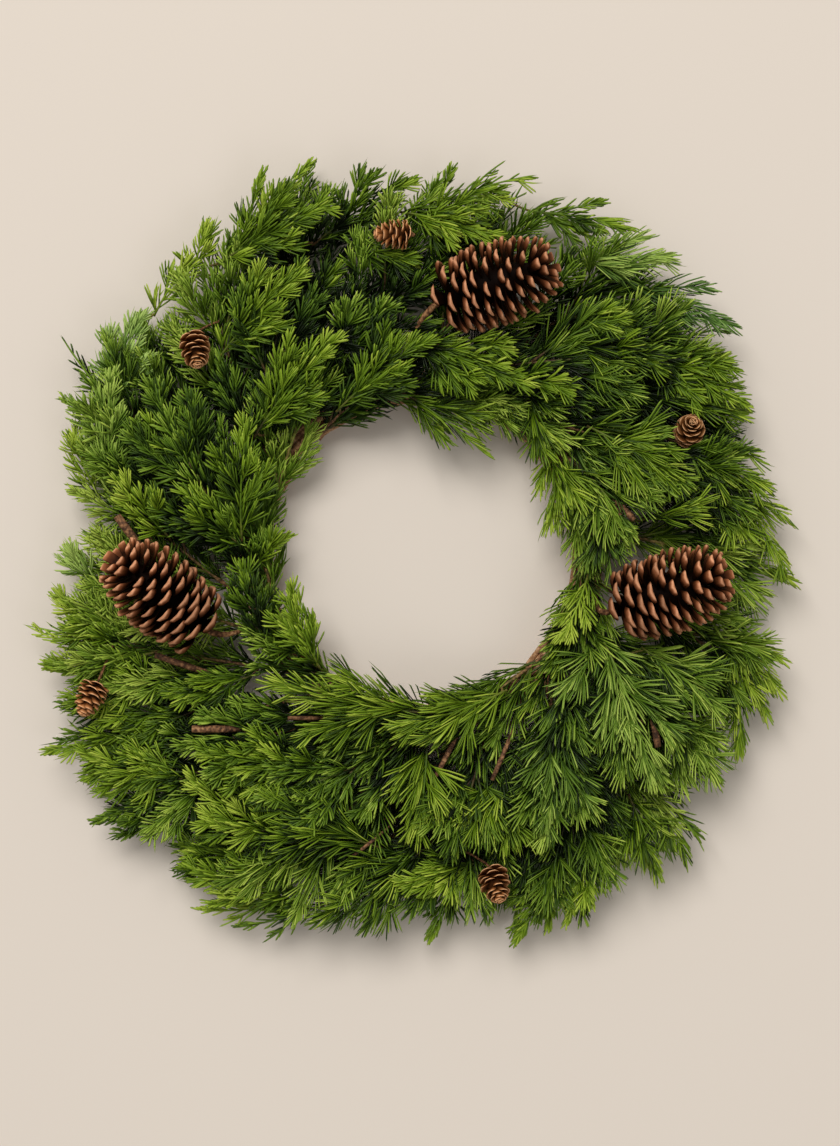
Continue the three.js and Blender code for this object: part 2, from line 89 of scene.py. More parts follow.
# Rods with closed ends. With a = 2 pi c / sides, corner c of ring j of rod i lies at
#   path[i, j] + wide[i, j] cos(a) side + (thick[i, j] sin(a) + cup[i, j] cos(a)^2) over,
# where over is the rod's up turned square to its path, and side = over x along. The last point is the tip.
def rods(paths, wide, thick, ups, sides, cup=0.0):
    count, steps = paths.shape[:2]
    along = np.empty_like(paths)
    along[:, 1:-1] = paths[:, 2:] - paths[:, :-2]
    along[:, 0] = paths[:, 1] - paths[:, 0]
    along = unit(along[:, :-1])
    over = squareTo(np.broadcast_to(ups if ups.ndim == 3 else ups[:, None], along.shape), along)
    side = np.cross(over, along)
    turn = 2 * np.pi * np.arange(sides) / sides
    wide, thick, cup = (np.broadcast_to(size, (count, steps - 1))[..., None] for size in (wide, thick, cup))
    above = thick * np.sin(turn) + cup * np.cos(turn) ** 2
    rings = paths[:, :-1, None] + (wide * np.cos(turn))[..., None] * side[:, :, None]
    rings = rings + above[..., None] * over[:, :, None]
    corners = np.concatenate([rings.reshape(count, -1, 3), paths[:, -1:]], axis=1)
    reach = np.append(np.repeat(np.arange(steps - 1), sides), steps - 1) / (steps - 1)
    one = rodFaces(steps, sides)
    faces = one[None] + (np.arange(count) * corners.shape[1])[:, None, None]
    return corners.reshape(-1, 3), faces.reshape(-1, 3), np.tile(reach, count), corners.shape[1]


# Triangles of one rod: the foot, two for each cell of the wall, and a fan round the tip.
def rodFaces(steps, sides):
    j = np.arange(sides)
    n = (j + 1) % sides
    k = np.arange(1, sides - 1)
    parts = [np.stack([0 * k, k + 1, k], -1)]
    for ring in range(0, (steps - 2) * sides, sides):
        parts.append(np.stack([ring + j, ring + n, ring + sides + n], -1))
        parts.append(np.stack([ring + j, ring + sides + n, ring + sides + j], -1))
    last = (steps - 2) * sides
    parts.append(np.stack([last + j, last + n, 0 * j + last + sides], -1))
    return np.concatenate(parts)


# What a piece is made of: corners, triangles, and four numbers a corner for its colour
# (tone, painted light and shade included, coolness or age, reach along its own rod, wood).
def addRods(pile, paths, wide, thick, ups, sides, tone=0.5, cool=0.0, wood=0.0, cup=0.0):
    if not len(paths):
        return
    corners, faces, reach, each = rods(paths, wide, thick, ups, sides, cup)
    look = np.empty((len(corners), 4))
    for column, value in ((0, tone), (1, cool), (3, wood)):
        value = np.asarray(value, float)
        if value.ndim == 2:  # a value for each ring, the tip's last
            value = np.concatenate([np.repeat(value[:, :-1], sides, axis=1), value[:, -1:]], axis=1).ravel()
        else:
            value = np.repeat(np.broadcast_to(value, len(paths)), each)
        look[:, column] = value
    look[:, 2] = reach
    pile.append((corners, faces, look))


# The canopy is the foliage's height over each cell of a grid. Below it the tone is darkened as painted
# shade, but less so near the wreath's edges, where light comes in from beside.
canopy = {
    "cell": 5.0, "half": 72,  # a cell's size, and the number of cells to each side of the middle
    "depth": 12.5, "shade": 0.48,  # how deep the shade grows, and how dark
    "free": 2.0, "aboveCanopyLight": -0.15,  # what lies this near the canopy is in full light, and above it painted brighter
    "outerEdge": 48.0, "innerEdge": 28.0, "leastCover": 0.15,  # how far in light comes from beside
}


def canopyCell(corners):  # the place of each corner's cell in the grid: half + corner / cell
    place = (corners[:, :2] / canopy["cell"]).astype(int) + canopy["half"]
    return tuple(np.clip(place, 0, 2 * canopy["half"] - 1).T)


# Height over a cell: half the highest corner in it, and half the mean of that over the nine cells around
def canopyOver(piles):
    corners = np.concatenate([part[0] for pile in piles for part in pile])
    size = 2 * canopy["half"]
    top = np.zeros((size, size))
    np.maximum.at(top, canopyCell(corners), corners[:, 2])
    around = np.pad(top, 1, mode="edge")
    return sum(around[i:i + size, j:j + size] for i in range(3) for j in range(3)) / 9 * 0.5 + top * 0.5


# Painted shade: tone falls by shade x cover x (height below the canopy / depth), cover being the distance in
# from an edge over the distance that light comes in there.
def shadeBelow(pile, top):
    for corners, _, look in pile:
        below = top[canopyCell(corners)] - canopy["free"] - corners[:, 2]
        outer, inner = fromEdges(corners)
        cover = np.minimum(outer / canopy["outerEdge"], inner / canopy["innerEdge"])
        cover = np.clip(cover, canopy["leastCover"], 1)
        look[:, 0] -= canopy["shade"] * cover * np.clip(below / canopy["depth"], canopy["aboveCanopyLight"], 1)


def newObject(name, data):  # an object that is in the scene
    thing = bpy.data.objects.new(name, data)
    bpy.context.scene.collection.objects.link(thing)
    return thing


# One mesh from a pile: every corner moved by the ring's middle, and its look kept as an attribute
def makePiece(name, pile, finish, slot, *nodes):
    sizes = np.cumsum([0] + [len(corners) for corners, _, _ in pile])
    corners = np.concatenate([part[0] for part in pile]) + ringMiddle
    faces = np.concatenate([part[1] + start for part, start in zip(pile, sizes)])
    look = np.concatenate([part[2] for part in pile])
    corners[:, 2] = np.maximum(corners[:, 2], lowestCorner)
    mesh = bpy.data.meshes.new(name)
    mesh.vertices.add(len(corners))
    mesh.vertices.foreach_set("co", (corners * mm).astype(np.float32).ravel())
    mesh.loops.add(3 * len(faces))
    mesh.loops.foreach_set("vertex_index", faces.astype(np.int32).ravel())
    mesh.polygons.add(len(faces))
    mesh.polygons.foreach_set("loop_start", np.arange(0, 3 * len(faces), 3, dtype=np.int32))
    mesh.polygons.foreach_set("use_smooth", np.ones(len(faces), bool))
    mesh.update(calc_edges=True)
    colour = mesh.attributes.new("look", "FLOAT_COLOR", "POINT")
    colour.data.foreach_set("color", look.astype(np.float32).ravel())
    mesh.materials.append(finish)
    piece = newObject(name, mesh)
    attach(piece, "root")
    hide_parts(*nodes)
    return len(faces)


# Finishes

paints = {"colour": "Base Color", "rough": "Roughness", "shine": "Specular IOR Level"}


# A material, and the tools to work it out from the look attribute and from noise in object coordinates
def newFinish(name):
    finish = bpy.data.materials.new(name)
    finish.use_nodes = True
    nodes, links = finish.node_tree.nodes, finish.node_tree.links
    shader = nodes["Principled BSDF"]
    look = nodes.new("ShaderNodeAttribute")
    look.attribute_name = "look"
    split = nodes.new("ShaderNodeSeparateColor")
    links.new(look.outputs["Color"], split.inputs[0])
    place = nodes.new("ShaderNodeTexCoord")

    def feed(node, sockets):
        for name, value in sockets.items():
            if isinstance(value, bpy.types.NodeSocket):
                links.new(value, node.inputs[name])
            else:
                node.inputs[name].default_value = (*value, 1) if isinstance(value, tuple) else value

    def newNode(kind, sockets, **settings):
        node = nodes.new("ShaderNode" + kind)
        for name, value in settings.items():
            setattr(node, name, value)
        feed(node, sockets)
        return node.outputs

    def noise(scale, detail=3.0, rough=0.55):
        sockets = {"Vector": place.outputs["Object"], "Scale": scale, "Detail": detail, "Roughness": rough}
        return newNode("TexNoise", sockets)["Fac"]

    def maths(kind, a, b):
        return newNode("Math", {0: a, 1: b}, operation=kind)[0]

    def mix(share, a, b, blend="MIX"):
        return newNode("Mix", {0: share, 6: a, 7: b}, data_type="RGBA", blend_type=blend)[2]

    def ramp(value, stops):
        node = nodes.new("ShaderNodeValToRGB")
        bar = node.color_ramp
        while len(bar.elements) < len(stops):
            bar.elements.new(0.5)
        for element, (at, colour) in zip(bar.elements, stops):
            element.position = at
            element.color = (*colour, 1)
        feed(node, {0: value})
        return node.outputs[0]

    def bump(height, strength, distance):
        rise = newNode("Bump", {"Strength": strength, "Distance": distance, "Height": height})
        feed(shader, {"Normal": rise[0]})

    def paint(**values):
        feed(shader, {paints[name]: value for name, value in values.items()})

    tone, age, reach = split.outputs
    return finish, SimpleNamespace(noise=noise, maths=maths, ramp=ramp, mix=mix, bump=bump, paint=paint,
                                   tone=tone, age=age, reach=reach, wood=look.outputs["Alpha"])


bark = {  # brown streaked with a paler dry brown
    "fine": 420, "broad": 90, "broadShare": 0.6, "darker": 0.35,
    "colours": [
        (0.25, (0.030, 0.014, 0.008)), (0.42, (0.12, 0.055, 0.028)),
        (0.58, (0.32, 0.16, 0.07)), (0.8, (0.58, 0.36, 0.19))],
}


# Place on the ramp: fine noise + 0.6 broad noise + pale - 0.35
def barkColour(kit, pale=0.0):
    fine = kit.noise(bark["fine"], 4)
    streaks = kit.maths("ADD", fine, kit.maths("MULTIPLY", kit.noise(bark["broad"]), bark["broadShare"]))
    return kit.ramp(kit.maths("ADD", streaks, pale - bark["darker"]), bark["colours"])


needles = {  # deep green to near black in painted shade, fresh yellow-green at the tips, sage on cool sprays
    "green": [
        (0.0, (0.004, 0.010, 0.0006)), (0.25, (0.024, 0.056, 0.0016)), (0.5, (0.105, 0.190, 0.006)),
        (0.75, (0.22, 0.34, 0.018)), (1.0, (0.42, 0.54, 0.06))],
    "sage": [(0.0, (0.005, 0.013, 0.003)), (0.5, (0.085, 0.19, 0.03)), (1.0, (0.38, 0.56, 0.19))],
    "tipward": 0.26, "patches": 0.35, "patchScale": 55, "rough": 0.46, "woodRougher": 0.3, "shine": 0.24,
}


# Place on the ramps: tone + tipward (reach - 0.45) + patches (noise - 0.5). Wood takes the colour of bark.
def needleFinish():
    finish, kit = newFinish("cypress needles")
    maths, mix = kit.maths, kit.mix
    # Tipward: each thread's tip paler, as fresh growth, and its foot darker, as painted shade in a fan's
    # middle
    tipward = maths("MULTIPLY", maths("SUBTRACT", kit.reach, 0.45), needles["tipward"])
    patches = maths("SUBTRACT", kit.noise(needles["patchScale"]), 0.5)
    patches = maths("MULTIPLY", patches, needles["patches"])
    value = maths("ADD", maths("ADD", kit.tone, tipward), patches)
    leafy = mix(kit.age, kit.ramp(value, needles["green"]), kit.ramp(value, needles["sage"]))
    rough = maths("ADD", maths("MULTIPLY", kit.wood, needles["woodRougher"]), needles["rough"])
    kit.paint(colour=mix(kit.wood, leafy, barkColour(kit)), rough=rough, shine=needles["shine"])
    kit.bump(kit.noise(1400, 2), 0.25, 0.0003)
    return finish


# The vines' own bark, paler than that on the stems
def vineFinish():
    finish, kit = newFinish("grapevine bark")
    kit.paint(colour=barkColour(kit, 0.16), rough=0.82)
    kit.bump(kit.noise(500, 4), 0.5, 0.0006)
    return finish


coneLooks = {  # painted shade, near black, deep inside the cone, brown plates, and paler thick ends
    "pine": {
        "name": "pine cone scales", "worn": 0.35,
        "stops": [
            (0.0, (0.004, 0.0012, 0.0004)), (0.34, (0.014, 0.0038, 0.001)), (0.54, (0.085, 0.026, 0.009)),
            (0.7, (0.24, 0.085, 0.036)), (0.87, (0.58, 0.29, 0.165)), (1.0, (0.38, 0.16, 0.08))],
    },
    "small": {
        "name": "small cone scales", "worn": 0.8,
        "stops": [
            (0.0, (0.032, 0.010, 0.002)), (0.4, (0.14, 0.048, 0.012)), (0.7, (0.37, 0.155, 0.052)),
            (0.9, (0.84, 0.5, 0.26))],
    },
}
scaleTints = [(0.0, (0.6, 0.58, 0.56)), (1.0, (1.45, 1.4, 1.36))]
dustyColour = (0.62, 0.33, 0.18)


# Place on the ramp: reach + streaks. Tone tints a scale, and its end is dusty by worn x age x reach^4.
def coneFinish(name, stops, worn):
    finish, kit = newFinish(name)
    maths = kit.maths
    streaks = maths("MULTIPLY", maths("SUBTRACT", kit.noise(260, 4), 0.5), 0.22)
    plate = kit.ramp(maths("ADD", kit.reach, streaks), stops)
    tint = kit.ramp(maths("ADD", kit.tone, streaks), scaleTints)
    plate = kit.mix(1.0, plate, tint, "MULTIPLY")
    dust = maths("MULTIPLY", maths("MULTIPLY", kit.age, maths("POWER", kit.reach, 4.0)), worn)
    plate = kit.mix(dust, plate, dustyColour)
    kit.paint(colour=kit.mix(kit.wood, plate, barkColour(kit)), rough=0.62, shine=0.05)
    kit.bump(kit.noise(900, 4), 0.35, 0.0005)
    return finish


# The vine ring

ring = {
    # as in the model
    "radius": 134, "bundle": 8.7, "vine": 5, "count": 5, "winds": 2, "span": 350, "firstStart": 30,
    "steps": 34, "sides": 5, "firstCorner": 30, "cutGap": 2, "flat": 1.2, "seatGap": 0.42, "seatShare": 0.75,
    # the strands that each vine is twisted from
    "strands": 3, "strandRadius": 2.35, "strandOffset": 2.5, "twist": 7, "rings": 260, "strandSides": 7,
    "wander": 0.6, "spread": 0.12, "swell": 0.1, "rough": 0.06, "flattened": 0.92,
}
stemRadius = 1.7
vineTurn = 360 / ring["count"]
vineStarts = [ring["firstStart"] + vineTurn * k for k in range(ring["count"])]
bundleHeight = ring["bundle"] + ring["vine"] - ring["flat"]


# A vine's middle: wind = 2 clock + 72 k, radius = 134 + 8.7 cos(wind), height = 12.5 + 8.7 sin(wind)
def vinePath(k, count):
    clock = vineStarts[k] + ring["span"] * np.linspace(0, 1, count)
    wind = np.radians(ring["winds"] * clock + vineTurn * k)
    middle = onClock(clock, ring["radius"] + ring["bundle"] * np.cos(wind), 0)
    middle[:, 2] = bundleHeight + ring["bundle"] * np.sin(wind)
    return middle


seatPaths = [vinePath(k, ring["steps"] + 1) for k in range(ring["count"])]


# The way from the bundle's middle to one of its sides: outwards by cos(side) and up by sin(side)
def sideOfRing(clock, side):
    return onClock(np.array(clock), math.cos(math.radians(side)), math.sin(math.radians(side)))


# Where a stem is tucked in: off the vine that lies nearest to that side of the bundle, by the reach of its
# many-sided section, vine cos(half) / cos(turn - half), the seat's gap and the spread.
def seatOnRing(clock, side, spread):
    turns = [(clock - start) % 360 for start in vineStarts]
    whole = [k for k in range(ring["count"]) if turns[k] < ring["span"] - ring["cutGap"]]
    nearest = max(whole, key=lambda k: math.cos(math.radians(ring["winds"] * clock + vineTurn * k - side)))
    place = turns[nearest] / ring["span"] * ring["steps"]
    path = seatPaths[nearest]
    low = int(place)
    point = path[low] + (path[low + 1] - path[low]) * (place - low)
    half = 180 / ring["sides"]
    turn = (180 - side - ring["firstCorner"] + 360) % (2 * half)
    vineReach = ring["vine"] * math.cos(math.radians(half)) / math.cos(math.radians(turn - half))
    return point + sideOfRing(clock, side) * (vineReach + ring["seatGap"] + spread)


# Each strand of a vine winds round the vine's middle, offset (cos(a) out + sin(a) over) from it, with
#   a = 2 pi (strand / strands + twist t) + wander sin(9 t),
# and its radius swells and pinches along the way.
def vinePile(k):
    rng = np.random.default_rng(40 + k)
    middle = vinePath(k, ring["rings"])
    along = unit(np.gradient(middle, axis=0))
    out = squareTo(middle * [1, 1, 0], along)
    over = np.cross(along, out)
    t = np.linspace(0, 1, ring["rings"])
    pile = []
    for strand in range(ring["strands"]):
        a = 2 * np.pi * (strand / ring["strands"] + ring["twist"] * t)
        a = a + ring["wander"] * np.sin(9 * t + strand + k)
        offset = ring["strandOffset"] * (1 + ring["spread"] * np.sin(31 * t + 2 * strand))
        path = middle + (offset * np.cos(a))[:, None] * out + (offset * np.sin(a))[:, None] * over
        swell = 1 + ring["swell"] * np.sin(47 * t + 3 * strand + k) + ring["rough"] * rng.normal(size=len(t))
        radius = ring["strandRadius"] * swell[None, :-1]
        addRods(pile, path[None], radius, radius * ring["flattened"], out[None, :-1], ring["strandSides"],
                tone=rng.uniform(0.3, 0.7), wood=1.0)
    return pile


# The two forms of cone, a row each: where the scales stand along the axis, how they lean and curl, how far
# they reach and how broad they are, and a scale's width, thickness and cup along its way
pineCone = {
    "length": 98, "scales": 112, "leftOut": 4, "bottom": -0.02, "top": 0.82, "first": 2.5, "packing": 0.7,
    "footLean": 106, "tipLean": 44, "closing": 2.4, "curlPower": 2.6,
    "radius": 36, "narrowing": 0.26, "halfWidth": (9.2, 3.5), "slimming": 0.8, "thick": 1.2, "sides": 8,
    "widths": (0.5, 0.66, 0.84, 0.97, 1.0, 0.97, 0.78),
    "thicks": (0.7, 0.6, 0.7, 1.0, 1.4, 1.4, 0.9),
    "cups": (0.2, 0.24, 0.28, 0.3, 0.34, 0.34, 0.24),
    "spike": 0.35, "core": 0.4, "stalk": 2.2,
}
smallCone = {
    "length": 27, "scales": 46, "leftOut": 0, "bottom": 0.03, "top": 0.86, "first": 0, "packing": 0.95,
    "footLean": 92, "tipLean": 8, "closing": 1.3, "curl": 24, "curlPower": 4.0,
    "radius": 13.5, "narrowing": 0.45, "halfWidth": (6.6, 3.2), "slimming": 1, "thick": 0.42, "sides": 6,
    "widths": (0.5, 0.65, 0.82, 0.95, 1.0, 0.92, 0.66),
    "thicks": (1.0, 1.0, 1.0, 1.0, 1.0, 1.0, 0.9),
    "cups": (0.3, 0.3, 0.3, 0.34, 0.36, 0.36, 0.3),
    "spike": 0, "core": 0.5, "stalk": 1.0,
}
scaleMarks = np.array([0.0, 0.3, 0.54, 0.72, 0.84, 0.93, 0.985, 1.0])  # shares of a scale's length
stalkBends = (0.22, 0.14)  # how far a stalk heads straight on at its foot and end, in cone lengths
stalkSide, stalkLift = 60, 0.9  # where a pine cone's stalk ends: the side of the bundle, and how far off it
# A small cone stands on a stem that passes within perchRange of the point perchBehind of its length behind
# its middle; its stalk ends perchGap above the stem, and its middle stands smallConeRise above it
perchRange, perchGap, perchBehind, smallConeRise = 9, 1.5, 0.85, 25

# Each cone: its middle, its tip's heading and upward tilt and where its stalk ends on the ring, as in the
# model, and then how pale and broad its scales are, painted light that makes the tip paler and the foot
# darker, and how far they curl
pineCones = {
    "pine_cone_top": {
        "x": 62, "y": 212, "z": 72, "heading": 17, "tilt": 12, "clock": 353,
        "pale": 0.45, "broad": 1.0, "tipLight": 0.1, "curl": 60},
    "pine_cone_left": {
        "x": -207, "y": -30, "z": 72, "heading": 140, "tilt": 20, "clock": 247,
        "pale": 0.6, "broad": 1.16, "tipLight": 0.9, "curl": 84},
    "pine_cone_right": {
        "x": 197, "y": -30, "z": 72, "heading": 19, "tilt": 14, "clock": 104,
        "pale": 0.4, "broad": 1.16, "tipLight": 0.3, "curl": 80},
}
smallCones = {
    "small_cone_upper_left": {"x": -179, "y": 160, "heading": -80, "tilt": 30, "pale": 0.7},
    "small_cone_top": {"x": -22, "y": 251, "heading": 178, "tilt": 5, "pale": 1.2},
    "small_cone_right": {"x": 213, "y": 98, "heading": 80, "tilt": 68, "pale": -0.1},
    "small_cone_bottom": {"x": 58, "y": -262, "heading": -75, "tilt": 35, "pale": 0.5},
    "small_cone_left": {"x": -262, "y": -114, "heading": -115, "tilt": 12, "pale": 1.7},
}


def coneAxis(cone):  # (cos(tilt) cos(heading), cos(tilt) sin(heading), sin(tilt))
    heading, tilt = math.radians(cone["heading"]), math.radians(cone["tilt"])
    flat = math.cos(tilt)
    return np.array([flat * math.cos(heading), flat * math.sin(heading), math.sin(tilt)])


# A cone's scales stand in a spiral of 137.5 degrees a step. Scale i, t = (i + first) / (scales - 1 + first),
#   stands at length (bottom + (top - bottom) t^packing) along the axis,
#   leaves it at the angle footLean + (tipLean - footLean) t^closing,
#   curls towards the cone's tip by curl (1 - 0.75 t) u^curlPower at share u of its way,
#   and reaches radius (0.76 + 0.24 sin(pi (0.12 + 0.76 t))) (1 - narrowing t^4).
# Half its width goes from the first to the second halfWidth by t^slimming. It is cupped towards the tip.
def conePile(form, foot, axis, stalkPath, seed, pale, broad=1.0, tipLight=0.0):
    rng = np.random.default_rng(seed)
    count = form["scales"] - form["leftOut"]
    order = np.arange(count)
    t = (order + form["first"]) / (form["scales"] - 1 + form["first"])
    azimuth = order * goldenTurn + rng.normal(0, 0.04, count)
    right = squareTo(crossways[0], axis)
    outward = between(right, np.cross(axis, right), azimuth)
    lean = np.radians(form["footLean"] + (form["tipLean"] - form["footLean"]) * t ** form["closing"])
    lean = lean + rng.normal(0, 0.05, count)
    reach = form["radius"] * (0.76 + 0.24 * np.sin(np.pi * (0.12 + 0.76 * t)))
    reach = reach * (1 - form["narrowing"] * t ** 4) * rng.uniform(0.95, 1.04, count)
    middles = (scaleMarks[1:] + scaleMarks[:-1]) / 2
    curl = np.radians(form["curl"]) * (1.0 - 0.75 * t[:, None])
    bend = lean[:, None] - curl * middles ** form["curlPower"]
    legs = between(axis, outward[:, None], bend)
    legs = legs * (np.diff(scaleMarks) * reach[:, None])[..., None]
    height = form["length"] * (form["bottom"] + (form["top"] - form["bottom"]) * t ** form["packing"])
    root = foot + height[:, None] * axis
    paths = np.concatenate([root[:, None], root[:, None] + np.cumsum(legs, axis=1)], axis=1)
    half = form["halfWidth"][0] + (form["halfWidth"][1] - form["halfWidth"][0]) * t ** form["slimming"]
    half = (half * broad * rng.uniform(0.92, 1.08, count))[:, None]
    wide = half * np.array(form["widths"])
    thick = form["thick"] * np.array(form["thicks"]) * (0.75 + 0.25 * half / half.max())
    over = between(-outward, axis, lean)
    pile = []
    tone = np.clip(rng.normal(0.5, 0.16, count), 0, 1)
    # Painted light and shade: tipLight makes the scales paler towards the tip and darker towards the foot
    tone = np.clip(tone + 0.5 * (pale - 0.4) + tipLight * (t - 0.5), 0, 1)
    dusty = max(pale, 0) * rng.uniform(0.5, 1, count)
    cup = wide * np.array(form["cups"])
    addRods(pile, paths, wide, thick, over, form["sides"], tone=tone, cool=dusty, cup=cup)
    if form["spike"]:  # the little point in the middle of each scale's end
        end, aim = paths[:, -3], unit(paths[:, -1] - paths[:, -3])
        size = form["thick"] * form["spike"]
        spike = np.stack([end - over * size, end + aim * size + over * (thick[:, -2:-1] + size)], 1)
        addRods(pile, spike, size * 1.6, size * 1.6, aim, 4, tone=tone)
    share = np.linspace(0, 1, 9)  # along the core, and then along the stalk
    core = foot + (form["length"] * (0.01 + (form["top"] + 0.02) * share))[:, None] * axis
    girth = form["radius"] * form["core"] * np.sin(np.pi * (0.12 + 0.8 * share[:-1]))
    addRods(pile, core[None], girth[None], girth[None], right[None], 8, tone=0.0)
    pile[-1][2][:, 2] *= 0.2  # the core stays near black: painted shade deep inside the cone
    radii = form["stalk"] * (1 + 0.12 * np.sin(9 * share[:-1]))[None]
    leaning = squareTo(np.array([[0.31, 0.52, 0.8]]), unit(stalkPath[-1:] - stalkPath[:1]))
    addRods(pile, stalkPath[None], radii, radii, leaning, 8, wood=1.0)
    return pile


# A stalk bends back from the cone's foot to what carries it, along the cubic curve
#   (1 - t)^3 foot + 3 t (1 - t)^2 b + 3 t^2 (1 - t) c + t^3 end
def stalkFor(form, foot, axis, end, leaving):
    b = foot - axis * form["length"] * stalkBends[0]
    c = end + leaving * form["length"] * stalkBends[1]
    t = np.linspace(0, 1, 9)[:, None]
    return (1 - t) ** 3 * foot + 3 * t * (1 - t) ** 2 * b + 3 * t ** 2 * (1 - t) * c + t ** 3 * end


# Sprays

# As in the model: the clock angle of the cut end, the side of the bundle where it is tucked in, the tip's
# x, y and z, and how far the stem bows outwards
outerSprays = [
    (336, 40, 14, 297, 36, 25), (318, 0, -89, 313, 17, 55), (299, 40, -172, 262, 36, 30),
    (284, 0, -226, 190, 17, 22), (270, 40, -289, 174, 36, 20), (256, 0, -285, 95, 17, 25),
    (243, 20, -285, 2, 18, 20), (230, 40, -319, -57, 34, 12), (218, 0, -309, -155, 17, 4),
    (206, 40, -262, -214, 36, 10), (194, 0, -196, -254, 17, 18), (182, 40, -150, -300, 36, 26),
    (170, 0, -74, -290, 17, 30), (158, 40, 4, -311, 36, 28), (147, 0, 74, -311, 17, 24),
    (136, 40, 128, -294, 36, 20), (126, 0, 188, -258, 17, 16), (114, 40, 235, -182, 36, 18),
    (100, 20, 286, -112, 34, 24), (83, 0, 293, -22, 17, 30), (65, 40, 276, 53, 36, 30),
    (48, 0, 261, 117, 17, 30), (33, 40, 250, 182, 36, 28), (18, 20, 198, 240, 32, 28),
    (1, 0, 84, 302, 17, 10),
]
faceSprays = [
    (296, 75, -94, 226, 62, 34), (322, 75, -26, 196, 58, 14), (2, 75, 188, 151, 60, 20),
    (38, 75, 207, 54, 62, 22), (49, 75, 166, 12, 58, 14), (110, 75, 184, -182, 62, 14),
    (134, 75, 98, -224, 60, 22), (156, 75, 20, -232, 62, 18), (178, 75, -129, -193, 60, 20),
    (204, 75, -190, -152, 62, 14), (264, 75, -214, 134, 60, 12),
]
rimSprays = [
    (170, 110, -87, -114, 44, 12), (212, 110, -130, -28, 44, 12), (250, 110, -126, 64, 44, 12),
    (288, 110, -72, 160, 46, 10), (318, 110, 6, 164, 44, 6), (344, 110, 74, 118, 42, 12),
    (12, 110, 112, 88, 44, 12), (54, 110, 134, -14, 44, 12), (92, 110, 104, -92, 44, 12),
    (130, 110, -8, -140, 44, 12),
]

# The two ways the foliage grows: short and feathery, or in long loose threads. A row each: the stem's
# leafless end and the gap between its branches, the branches, the threads, and how many threads fork, how
# they curl, and how their tone varies
everyForm = {"bare": 0.06, "tilt": 6, "topShare": 5, "footBare": 0.2, "bends": 2}
needleForms = {
    "feathery": {
        **everyForm, "end": 4, "gap": 16,
        "branch": 19, "leave": 33, "close": 9, "droop": 0.03, "scatter": 17, "topTilt": 38,
        "thread": 18, "pitch": 2.75, "lean": 19, "radius": 0.88, "threadScatter": 15,
        "fork": 0.4, "curl": 0.5, "flecks": 0.12,
    },
    "thready": {
        **everyForm, "end": 6, "gap": 17,
        "branch": 20, "leave": 31, "close": 8, "droop": 0.06, "scatter": 16, "topTilt": 36,
        "thread": 26, "pitch": 2.7, "lean": 16, "radius": 0.7, "threadScatter": 12,
        "fork": 0.0, "curl": 0.8, "flecks": 0.19,
    },
}
ringGrowth = {"gap": 12.5, "pitch": 2.75}  # on the stems that grow from the ring
coolness, forkLook = 0.15, (1.2, 0.6, 0.5)
featheryFrom, featheryTo = 200, 25  # the clock angles between which the foliage is feathery

# How each layer grows: each spray's tone, the length of the branches, and the forks of the stems (the
# share of the way up where a fork leaves, the hand, its length as a share of the stem's, its angle and rise)
layers = {
    "outer": {
        "tones": [0.57, 0.49, 0.66, 0.65, 0.58, 0.69, 0.88, 0.71, 0.45, 0.53, 0.35, 0.57, 0.34, 0.48, 0.64,
                  0.34, 0.88, 0.72, 0.6, 0.76, 0.33, 0.41, 0.58, 0.48, 0.55],
        "branch": 1.1,
        "forks": [
            (0.18, -1, 0.5, 26, 12), (0.3, 1, 0.52, 36, 4), (0.48, -1, 0.36, 24, 18),
            (0.54, 1, 0.38, 30, 10)],
    },
    "face": {
        "tones": [0.32, 0.46, 0.4, 0.59, 0.72, 0.68, 0.67, 0.39, 0.47, 0.59, 0.43],
        "branch": 1.0,
        "forks": [
            (0.1, -1, 0.5, 34, 4), (0.2, 1, 0.5, 34, 2), (0.45, -1, 0.42, 32, 6), (0.5, 1, 0.4, 32, 4)],
    },
    "rim": {
        "tones": [0.56, 0.7, 0.58, 0.81, 0.38, 0.87, 0.76, 0.72, 0.74, 0.56],
        "branch": 0.9,
        "forks": [
            (0.04, 1, 0.5, 16, 2), (0.12, -1, 0.55, 34, 6), (0.4, -1, 0.45, 30, 8), (0.45, 1, 0.4, 12, 2)],
    },
}

# How far in and out the foliage reaches, at every 15 degrees of the clock
reachOut = [290, 286, 294, 294, 284, 267, 277, 292, 285, 305, 313, 305, 288, 302, 311, 327, 322, 299, 278,
            284, 305, 295, 305, 310]
reachIn = [106, 102, 119, 119, 118, 110, 114, 118, 116, 120, 119, 117, 110, 117, 113, 119, 118, 114, 118,
           118, 118, 118, 117, 112]


# How far points lie in from the foliage's outer edge, and out from its inner edge
def fromEdges(points):
    marks = np.linspace(0, 360, 25)
    clock = np.degrees(np.arctan2(points[..., 0], points[..., 1])) % 360
    radius = np.linalg.norm(points[..., :2], axis=-1)
    return (np.interp(clock, marks, reachOut + reachOut[:1]) - radius,
            radius - np.interp(clock, marks, reachIn + reachIn[:1]))


def combed(points, slack):  # true where points lie no more than slack beyond both edges
    outer, inner = fromEdges(points)
    return (outer > -slack) & (inner > -slack)


# Points, headings and lengths along a stem: (1 - t)^2 foot + 2 t (1 - t) middle + t^2 tip
def stemThrough(foot, middle, tip):
    t = np.linspace(0, 1, 49)[:, None]
    points = (1 - t) ** 2 * foot + 2 * t * (1 - t) * middle + t ** 2 * tip
    aims = unit((1 - t) * (middle - foot) + t * (tip - middle))
    lengths = np.append(0, np.cumsum(np.linalg.norm(np.diff(points, axis=0), axis=1)))
    return points, aims, lengths


def onStem(stem, lengths):  # places and headings at those lengths, in a straight line from point to point
    points, aims, marks = stem
    pick = lambda rows: np.stack([np.interp(lengths, marks, rows[:, axis]) for axis in range(3)], -1)
    return pick(points), unit(pick(aims))


